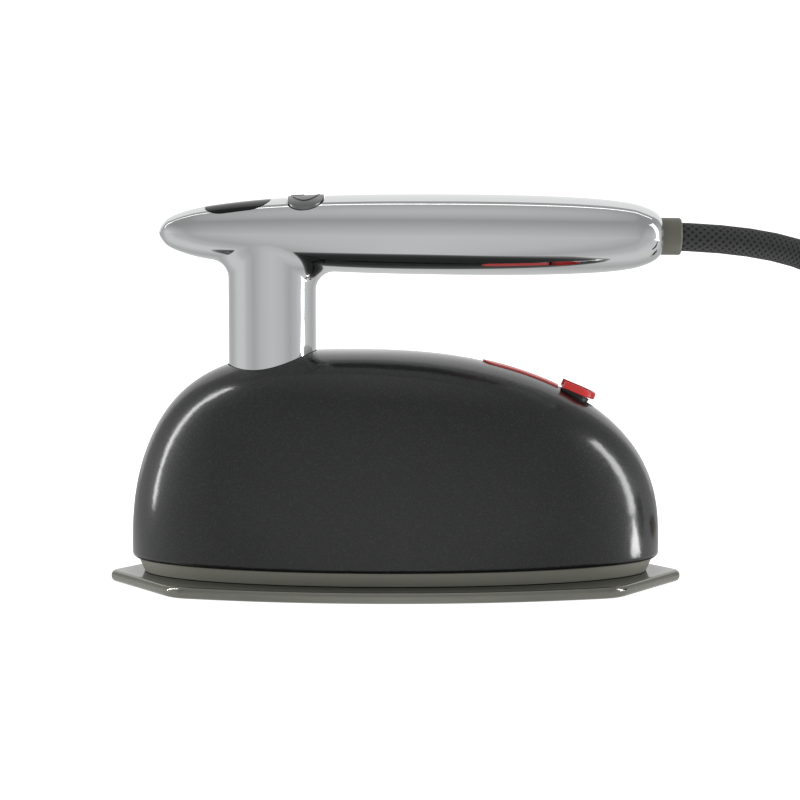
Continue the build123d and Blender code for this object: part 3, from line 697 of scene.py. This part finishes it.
# %% The paper sweep
PAPER_SIZE = 6.0
PAPER_RISE = 4.0
bpy.ops.mesh.primitive_plane_add(size=PAPER_SIZE)
floor = bpy.context.object
floor.name = "paper_sweep"
bpy.ops.object.mode_set(mode="EDIT")
bpy.ops.mesh.select_all(action="DESELECT")
bpy.ops.object.mode_set(mode="OBJECT")
for edge in floor.data.edges:
    edge.select = all(floor.data.vertices[v].co.y > 0 for v in edge.vertices)
bpy.ops.object.mode_set(mode="EDIT")
bpy.ops.mesh.select_mode(type="EDGE")
bpy.ops.mesh.extrude_region_move(TRANSFORM_OT_translate={"value": (0, 0, PAPER_RISE)})
bpy.ops.object.mode_set(mode="OBJECT")
floor.data.materials.append(material)
print("paper", PAPER_SIZE, "m wide")

# %% [markdown]
# ## The lights
#
# In the photograph one white streak runs down each end of the dark dome, and the chrome has broad soft bands. In a
# studio these are the reflections of tall strips and of cards, with black flags to keep each off the rest. Light
# linking is Blender's flag: the strong strips leave out the mirror-bright handle, which has dimmer cards of its own,
# and one small light from above picks out the red rubber.

# %% The lights
MIDDLE = (0, 0, 0.06)
RIGHT_STRIP = (1.2, -0.1, 0.38)
# Lights on the floor lie face up, just clear of the paper.
ON_PAPER = 0.0005
FACE_UP = math.pi


def soft_light(name, place, target, size, power):
    """A rectangular soft box."""
    bpy.ops.object.light_add(type="AREA", location=Vector(place))
    lamp = bpy.context.object
    lamp.name = name
    lamp.data.shape = "RECTANGLE"
    lamp.data.size, lamp.data.size_y = size
    lamp.data.energy = power
    aim(lamp, target)
    return lamp


# Each light has its name, place, target, width and length in metres, and power in watts.
strips = [
    soft_light("left_strip", (-1.2, 0.03, 0.62), MIDDLE, (0.10, 1.5), 7.5),
    soft_light("right_strip", RIGHT_STRIP, MIDDLE, (0.15, 0.9), 5.0),
    soft_light("floor_strip", (0.36, -0.035, ON_PAPER), MIDDLE, (0.46, 0.016), 0.4),
]
# The floor strip points at the foot of the right one, and carries its reflection on down the side of the dome.
strips[-1].rotation_euler = (FACE_UP, 0, math.atan2(RIGHT_STRIP[1], RIGHT_STRIP[0]))
cards = [
    soft_light("top_card", (0.0, 0.5, 1.13), (0, 0, 0.10), (1.9, 0.035), 0.55),
    soft_light("right_card", (1.2, 0.0, 0.42), MIDDLE, (0.30, 1.2), 1.7),
    soft_light("left_card", (-1.15, 0.55, 0.85), MIDDLE, (0.09, 0.7), 0.45),
    soft_light("floor_card", (0.87, 0.0, ON_PAPER), MIDDLE, (0.67, 0.26), 1.0),
]
cards[-1].rotation_euler = (FACE_UP, 0, 0)
fill = [soft_light("filler_light", (0.05, 0.06, 0.6), (0.05, 0, 0.06), (0.2, 0.2), 2.6)]
print("lights", len(strips) + len(cards) + len(fill))

# %% The flags
red = [stopper, frame["nodes"]["filler_strap"]]
for lamps, state, things in ((strips, "EXCLUDE", [bar]), (cards, "INCLUDE", [bar]), (fill, "INCLUDE", red)):
    flag = bpy.data.collections.new("flag_" + lamps[0].name)
    for thing in things:
        flag.objects.link(thing)
    for entry in flag.collection_objects:
        entry.light_linking.link_state = state
    for lamp in lamps:
        lamp.light_linking.receiver_collection = flag
print("flags", sum(c.name.startswith("flag_") for c in bpy.data.collections))

# %% [markdown]
# ## The air
#
# Past the paper and the lights, shiny pieces see the studio itself. A picture of a real studio could be wrapped round
# the scene, but a formula needs no file: two ramps of grey, by height and by side, multiplied. Darker bands between
# the bright ones give the chrome its tone.

# %% The air
# Grey values round the sky by height, from straight down to straight up.
SKY = ((0.0, 0.6), (0.5, 0.66), (0.75, 0.54), (0.925, 0.42), (0.985, 0.56), (1.0, 0.62))
# What those are multiplied by, from straight ahead out to either side.
ASIDE = ((0.0, 0.99), (0.45, 0.9), (0.75, 0.74), (0.92, 0.98), (0.999, 1.2))
world = bpy.data.worlds.new("studio_air")
world.use_nodes = True
place = node(world, "ShaderNodeTexCoord").outputs["Generated"]
toward = node(world, "ShaderNodeSeparateXYZ", {"Vector": place})
level = node(world, "ShaderNodeMapRange", {"Value": toward.outputs["Z"]})
level.inputs["From Min"].default_value = -1.0
aside = node(world, "ShaderNodeMath", {0: toward.outputs["X"]}, operation="ABSOLUTE")
both = node(world, "ShaderNodeMix", {"Factor": 1.0}, data_type="RGBA", blend_type="MULTIPLY")
join(world, grey_ramp(world, level.outputs["Result"], SKY), both.inputs["A"])
join(world, grey_ramp(world, aside.outputs[0], ASIDE), both.inputs["B"])
# Past the paper's edges the air is as white to the lens as the paper is.
to_lens = node(world, "ShaderNodeLightPath").outputs["Is Camera Ray"]
seen = node(world, "ShaderNodeMix", {"Factor": to_lens}, data_type="RGBA")
join(world, both.outputs["Result"], seen.inputs["A"])
seen.inputs["B"].default_value = (1, 1, 1, 1)
join(world, seen.outputs["Result"], world.node_tree.nodes["Background"].inputs["Color"])
bpy.context.scene.world = world
bpy.context.scene.view_settings.view_transform = "Standard"
print("sky stops", len(SKY), "and", len(ASIDE))

# %% [markdown]
# ## Finishes
#
# Each finish starts from what the real surface is. Pictures of surfaces could be wrapped round the pieces, but they
# show seams, so the patterns come from formulas: they are placed by the piece's own coordinates, at sizes in
# millimetres. The finishes are kept by slot, the name that each solid's record gives to its material.
#
# The dome is moulded ABS under a dark lacquer with fine aluminium flake and a clear coat: deep, with a soft sparkle.
# Small cells of random grey are the flake, and a power leaves only a few of them bright. Real flake is near 0.05 mm;
# it is drawn larger so that it shows.

# %% Graphite metallic lacquer
FLAKE_SIZE = 0.3 * MM
FLAKE_POWER = 5.0
finishes = {}


def graphite_lacquer():
    """Dark lacquer with a sparse flake under a clear coat."""
    material, shader = finish_of("graphite_lacquer", metallic=0.25, roughness=0.34)
    shader.inputs["Specular IOR Level"].default_value = 0.2
    shader.inputs["Coat Weight"].default_value = 0.85
    shader.inputs["Coat Roughness"].default_value = 0.13
    place = node(material, "ShaderNodeTexCoord").outputs["Object"]
    flake = node(material, "ShaderNodeTexVoronoi", {"Vector": place, "Scale": 1 / FLAKE_SIZE})
    grey = node(material, "ShaderNodeSeparateColor", {"Color": flake.outputs["Color"]})
    sparse = node(material, "ShaderNodeMath", {0: grey.outputs["Red"], 1: FLAKE_POWER}, operation="POWER")
    tone = node(material, "ShaderNodeMix", {"Factor": sparse.outputs[0]}, data_type="RGBA")
    tone.inputs["A"].default_value = linear("1A1B1C")
    tone.inputs["B"].default_value = linear("303132")
    join(material, tone.outputs["Result"], shader.inputs["Base Color"])
    return material


finishes["body_gloss"] = graphite_lacquer()
print("flake", FLAKE_SIZE / MM, "mm")

# %% [markdown]
# ## Chrome plating
#
# The handle is bright chrome on moulded plastic: a mirror with the faintest handling haze. A plain smooth metal would
# do from afar, but it looks drawn, so a broad noise changes the polish a little from place to place.

# %% Chrome plating
HAZE_SIZE = 22 * MM
HAZE = (0.03, 0.075)


def chrome_plating():
    """A mirror whose roughness wanders between two low values."""
    material, shader = finish_of("chrome_plating", base_color=linear("DADBDC"), metallic=1.0)
    place = node(material, "ShaderNodeTexCoord").outputs["Object"]
    haze = node(material, "ShaderNodeTexNoise", {"Vector": place, "Scale": 1 / HAZE_SIZE, "Detail": 3.0})
    rough = node(material, "ShaderNodeMapRange", {"Value": haze.outputs["Fac"]})
    rough.inputs["To Min"].default_value, rough.inputs["To Max"].default_value = HAZE
    join(material, rough.outputs["Result"], shader.inputs["Roughness"])
    return material


finishes["chrome"] = chrome_plating()
print("chrome roughness", HAZE)

# %% [markdown]
# ## Satin aluminium
#
# The soleplate is hard-coated aluminium, polished lengthwise: a soft metallic sheen with fine streaks. A noise
# stretched along the sole makes the streaks. Little light gets in close under the skirt, so faces that look up are
# darkened there by ambient occlusion, which is simpler than another flag for every light.

# %% Satin aluminium
STREAK_SIZE = 0.7 * MM
STREAK_STRETCH = (0.06, 1.0, 1.0)
STREAK_ROUGHNESS = (0.07, 0.13)
# How far the occlusion looks, and the shade for how open a place is.
HOLLOW_REACH = 9 * MM
HOLLOW_SHADE = ((0.55, 0.2), (0.95, 1.0))


def satin_aluminium():
    """Streaked metal, darker where something stands close over it."""
    material, shader = finish_of("satin_aluminium", metallic=0.8)
    place = node(material, "ShaderNodeTexCoord").outputs["Object"]
    along = node(material, "ShaderNodeMapping", {"Vector": place, "Scale": STREAK_STRETCH}).outputs[0]
    streak = node(material, "ShaderNodeTexNoise", {"Vector": along, "Scale": 1 / STREAK_SIZE, "Detail": 4.0})
    tone = node(material, "ShaderNodeMix", {"Factor": streak.outputs["Fac"]}, data_type="RGBA")
    tone.inputs["A"].default_value = linear("86867E")
    tone.inputs["B"].default_value = linear("96968D")
    hollow = node(material, "ShaderNodeAmbientOcclusion", {"Distance": HOLLOW_REACH})
    shade = grey_ramp(material, hollow.outputs["AO"], HOLLOW_SHADE)
    facing = node(material, "ShaderNodeNewGeometry").outputs["Normal"]
    facing = node(material, "ShaderNodeSeparateXYZ", {"Vector": facing}).outputs["Z"]
    both = node(material, "ShaderNodeMix", {"Factor": facing}, data_type="RGBA", blend_type="MULTIPLY")
    join(material, tone.outputs["Result"], both.inputs["A"])
    join(material, shade, both.inputs["B"])
    join(material, both.outputs["Result"], shader.inputs["Base Color"])
    rough = node(material, "ShaderNodeMapRange", {"Value": streak.outputs["Fac"]})
    rough.inputs["To Min"].default_value, rough.inputs["To Max"].default_value = STREAK_ROUGHNESS
    join(material, rough.outputs["Result"], shader.inputs["Roughness"])
    return material


finishes["sole_metal"] = satin_aluminium()
print("streaks", STREAK_SIZE / MM, "mm wide")

# %% [markdown]
# ## Moulded pieces
#
# Most other pieces are plain mouldings, of olive-grey plastic, black nylon, rubber or ceramic. A single flat colour
# looks like nothing at all, so one function gives each two close tones in a fine grain and a bump of the same grain,
# and only the numbers differ.

# %% Moulded pieces
GRAIN_DEPTH = 0.05 * MM


def moulded(name, colour, darker, grain_mm, roughness, bump, shine=0.5):
    """A moulded surface: two close tones in a fine grain, and a bump of the same grain."""
    material, shader = finish_of(name, roughness=roughness)
    shader.inputs["Specular IOR Level"].default_value = shine
    place = node(material, "ShaderNodeTexCoord").outputs["Object"]
    grain = node(material, "ShaderNodeTexNoise", {"Vector": place, "Scale": 1 / (grain_mm * MM), "Detail": 3.0})
    tone = node(material, "ShaderNodeMix", {"Factor": grain.outputs["Fac"]}, data_type="RGBA")
    tone.inputs["A"].default_value = linear(darker)
    tone.inputs["B"].default_value = linear(colour)
    join(material, tone.outputs["Result"], shader.inputs["Base Color"])
    relief = node(material, "ShaderNodeBump", {"Height": grain.outputs["Fac"], "Strength": bump})
    relief.inputs["Distance"].default_value = GRAIN_DEPTH
    join(material, relief.outputs["Normal"], shader.inputs["Normal"])
    return material


# Name, colour, darker tone, grain in millimetres, roughness, bump and, for some, shine.
finishes |= {
    "skirt_plastic": moulded("olive_grey_plastic", "ABABA0", "A1A196", 0.6, 0.45, 0.25),
    "red_silicone": moulded("red_silicone", "F2504C", "E84844", 1.2, 0.3, 0.1, 0.9),
    "black_lens": moulded("black_acrylic", "0B0B0C", "080809", 4.0, 0.08, 0.0, 0.12),
    "dark_plastic": moulded("black_nylon", "262626", "1E1E1E", 0.5, 0.5, 0.3),
    "plug_black": moulded("plug_rubber", "2A2A2A", "222222", 0.7, 0.55, 0.3),
    "tie_fabric": moulded("hook_and_loop", "1B1B1C", "0E0E0E", 0.5, 0.9, 1.0),
    "silicone": moulded("clear_silicone", "C9C9C4", "BDBDB8", 0.8, 0.4, 0.1),
    "tank_plastic": moulded("smoky_tank", "B9C2C6", "AEB8BC", 3.0, 0.15, 0.05),
    "ceramic": moulded("steatite_ceramic", "D6D2C6", "C8C3B6", 0.4, 0.6, 0.2),
    "board_green": moulded("circuit_board", "1F6B3A", "1A5C32", 0.9, 0.4, 0.1),
}
collar_plastic = moulded("collar_plastic", "737369", "6B6B61", 0.6, 0.45, 0.25)
print("finishes so far", len(finishes))

# %% [markdown]
# ## The red lip
#
# The stopper is the same silicone as its strap. Between the lip's walls, and on the floor and stem, its colour is a
# deeper red: painted shade, for the light that bounces from wall to wall and for the shadow inside the lip. Light
# that passes through the rubber could be rendered, at the price of much noise. Here the painted shade is chosen by
# how far a place lies from the middle line.

# %% The red lip
# The painted shade fades out over this distance inside the lip's centre line, in millimetres.
LIP_FADE = 0.5


def red_lip_painted_shade():
    """Silicone with painted shade: deeper red between the lip's walls."""
    material, shader = finish_of("red_silicone_lip_painted_shade", roughness=0.3)
    place = node(material, "ShaderNodeTexCoord").outputs["Object"]
    across = node(material, "ShaderNodeSeparateXYZ", {"Vector": place})
    across = node(material, "ShaderNodeMath", {0: across.outputs["Y"]}, operation="ABSOLUTE")
    outer = node(material, "ShaderNodeMapRange", {"Value": across.outputs[0]})
    outer.inputs["From Min"].default_value = (LIP_HALF - LIP_FADE) * MM
    outer.inputs["From Max"].default_value = LIP_HALF * MM
    tone = node(material, "ShaderNodeMix", {"Factor": outer.outputs["Result"]}, data_type="RGBA")
    # The deeper red is painted shade; the lighter red is the rubber's own colour.
    tone.inputs["A"].default_value = linear("C41418")
    tone.inputs["B"].default_value = linear("F23C38")
    join(material, tone.outputs["Result"], shader.inputs["Base Color"])
    return material


# The stopper's finish, with painted shade inside the lip.
lip = red_lip_painted_shade()
print("lip", len(lip.node_tree.nodes), "nodes")

# %% [markdown]
# ## Plain metals
#
# Screws, springs and plug blades are turned or stamped, and the button is painted silver. Each has one colour, and a
# small noise in its polish keeps its highlights from looking drawn.

# %% Plain metals
POLISH_SIZE = 1.5 * MM
POLISH_CHANGE = 0.08


def plated(name, colour, roughness):
    """A plain metal part, turned or stamped, with small changes of polish."""
    material, shader = finish_of(name, base_color=linear(colour), metallic=1.0)
    place = node(material, "ShaderNodeTexCoord").outputs["Object"]
    polish = node(material, "ShaderNodeTexNoise", {"Vector": place, "Scale": 1 / POLISH_SIZE})
    rough = node(material, "ShaderNodeMapRange", {"Value": polish.outputs["Fac"]})
    rough.inputs["To Min"].default_value = roughness - POLISH_CHANGE
    rough.inputs["To Max"].default_value = roughness + POLISH_CHANGE
    join(material, rough.outputs["Result"], shader.inputs["Roughness"])
    return material


# Name, colour and middle roughness.
finishes |= {
    "satin_silver": plated("satin_silver_paint", "7E7F7F", 0.36),
    "heater_steel": plated("heater_sheath", "9A9A9A", 0.4),
    "screw_steel": plated("zinc_plated_steel", "A8A8AA", 0.3),
    "brass": plated("plated_brass", "C9B27A", 0.25),
}
print("finishes so far", len(finishes))

# %% [markdown]
# ## The braided sleeve
#
# The cord's sleeve is polyester yarn braided over the lead: strands cross both ways, darker in the gaps. Modelled
# yarn would be very heavy, so two waves along the cord's own length cross in the finish instead, and a bump lifts
# them. Their spacing is near that of a real sleeve, about 0.8 mm.

# %% Braided sleeve
BRAID_PITCH = 9.0 * MM
BRAID_STRANDS = 12
BRAID_DEPTH = 0.25 * MM
# Height of the waves that counts as the bottom of a gap.
BRAID_FLOOR = -0.6


def braided_sleeve():
    """Two crossing sets of strands, dark between."""
    material, shader = finish_of("braided_sleeve", roughness=0.7)

    def worked(operation, first, second=None):
        """The output of one sum on one or two values."""
        values = {0: first} if second is None else {0: first, 1: second}
        return node(material, "ShaderNodeMath", values, operation=operation).outputs[0]

    place = node(material, "ShaderNodeTexCoord").outputs["UV"]
    split = node(material, "ShaderNodeSeparateXYZ", {"Vector": place})
    turns = CORD_LENGTH / BRAID_PITCH
    strands = []
    for way in (1, -1):
        along = worked("MULTIPLY", split.outputs["X"], turns * BRAID_STRANDS)
        around = worked("MULTIPLY", split.outputs["Y"], way * BRAID_STRANDS)
        angle = worked("MULTIPLY", worked("ADD", along, around), 2 * math.pi)
        strands.append(worked("SINE", angle))
    height = node(material, "ShaderNodeMapRange", {"Value": worked("MAXIMUM", *strands)})
    height.inputs["From Min"].default_value = BRAID_FLOOR
    tone = node(material, "ShaderNodeMix", {"Factor": height.outputs["Result"]}, data_type="RGBA")
    tone.inputs["A"].default_value = linear("101010")
    tone.inputs["B"].default_value = linear("454647")
    join(material, tone.outputs["Result"], shader.inputs["Base Color"])
    relief = node(material, "ShaderNodeBump", {"Height": height.outputs["Result"], "Strength": 0.6})
    relief.inputs["Distance"].default_value = BRAID_DEPTH
    join(material, relief.outputs["Normal"], shader.inputs["Normal"])
    return material


finishes["cord_black"] = braided_sleeve()
print("plaits", round(BRAID_PITCH / BRAID_STRANDS / MM, 2), "mm apart along the cord")

# %% [markdown]
# ## Finishes on the pieces
#
# Each solid takes the finish of its slot, so nothing is painted by hand. The pieces made here have no record, so each
# one's slot is written down.

# %% Finishes on the pieces
slot_of = {part["node"]: part["material_slot"] for part in frame["record"]["subparts"]}
for name, solid in frame["nodes"].items():
    solid.data.materials.clear()
    solid.data.materials.append(finishes[slot_of[name]])
for piece, slot in (
    (cord, "cord_black"),
    (bar, "chrome"),
    (window, "black_lens"),
    (button, "satin_silver"),
    (sign, "dark_plastic"),
    # The seal's black is painted shade under the lip.
    (shade_seal, "dark_plastic"),
):
    piece.data.materials.clear()
    piece.data.materials.append(finishes[slot])
# The stopper's finish has painted shade between the lip's walls.
stopper.data.materials.append(lip)
collar.data.materials.append(collar_plastic)
print("finishes", len(finishes), "on", len(frame["nodes"]), "solids")

# %% [markdown]
# ## Closing
#
# Every piece made here rides on the body that it belongs to, so that the handle, the button and the stopper can move,
# and stands in for the solids that it replaces. The cord keeps its real thickness, and its braid is spaced by its
# real length. The stowed coil is out of the picture, so it is kept out of the reflections too.

# %% Closing
cord.visible_glossy = False
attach(cord, "handle")
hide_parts("power_cord", "cord_coil", "cord_tail", "cord_inner_end")
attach(bar, "handle")
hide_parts("handle_upper_shell", "handle_lower_shell")
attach(window, "handle")
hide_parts("indicator_window")
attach(button, "button")
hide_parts("steam_button")
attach(sign, "button")
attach(stopper, "cap")
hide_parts("filler_cap")
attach(shade_seal, "cap")
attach(collar, "handle")
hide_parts("cord_gland")
